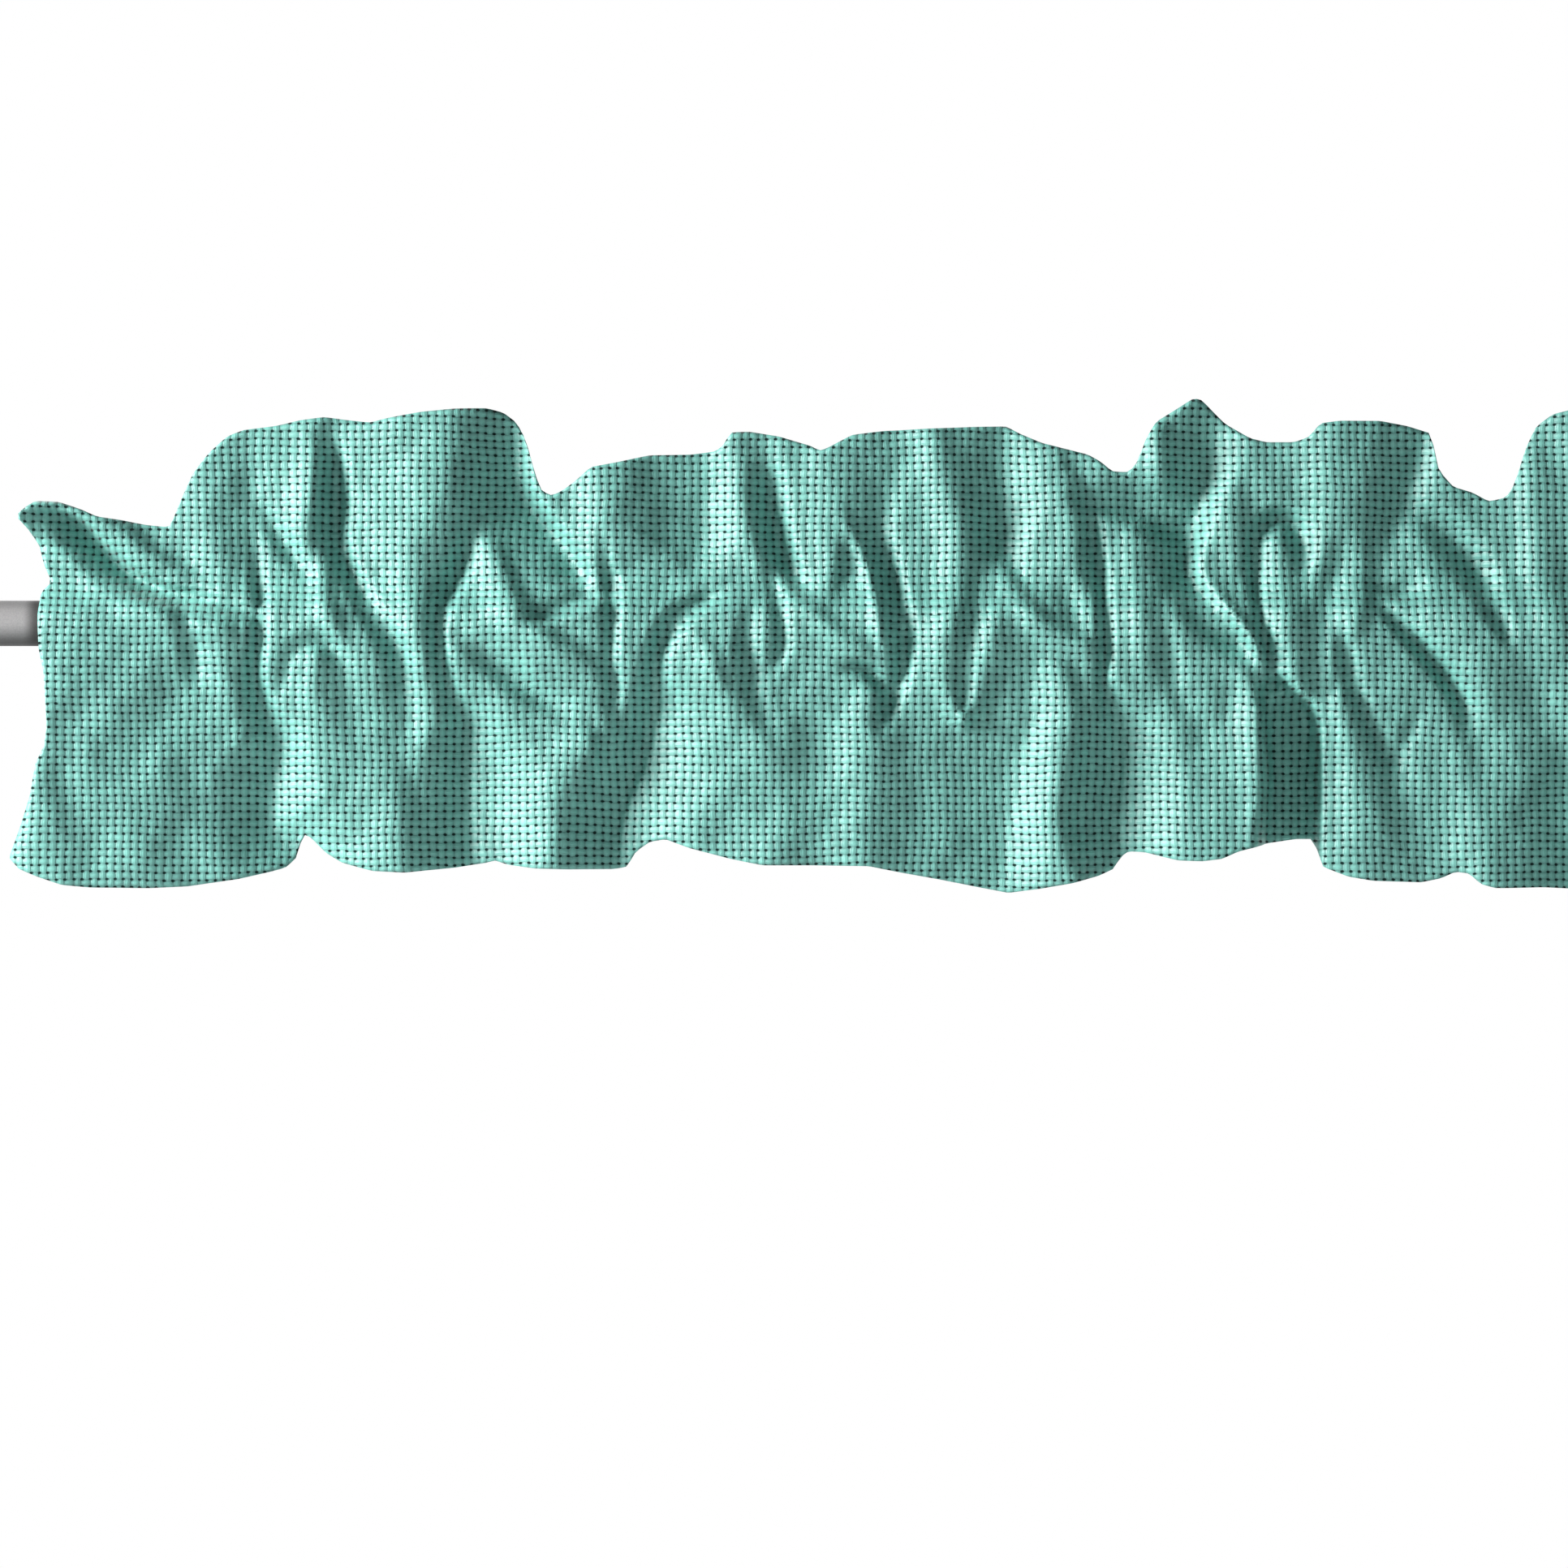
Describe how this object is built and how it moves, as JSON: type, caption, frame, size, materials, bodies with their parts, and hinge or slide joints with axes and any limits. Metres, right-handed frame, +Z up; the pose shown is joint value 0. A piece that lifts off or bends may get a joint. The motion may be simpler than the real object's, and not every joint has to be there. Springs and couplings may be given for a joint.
{
  "type": "window valance on a curtain rod",
  "caption": "Gathered window valance of coarse basket-weave cloth with a ruffled header and rod pocket, hanging on a plain round curtain rod.",
  "frame": {"origin": "on the axis of the curtain rod, at the middle of the rod's length", "axes": "+X along the rod, to the right for someone who faces the valance from the room; +Y towards the window, away from the room; +Z up"},
  "size_m": [1.16, 0.0619, 0.3015],
  "materials": {
    "cloth": "coarse open basket weave in blue-green, matte with light thread highlights",
    "rod_metal": "satin grey metal with fine grain"
  },
  "bodies": {
    "root": {"valance": "cloth", "rod": "rod_metal"}
  },
  "joints": []
}
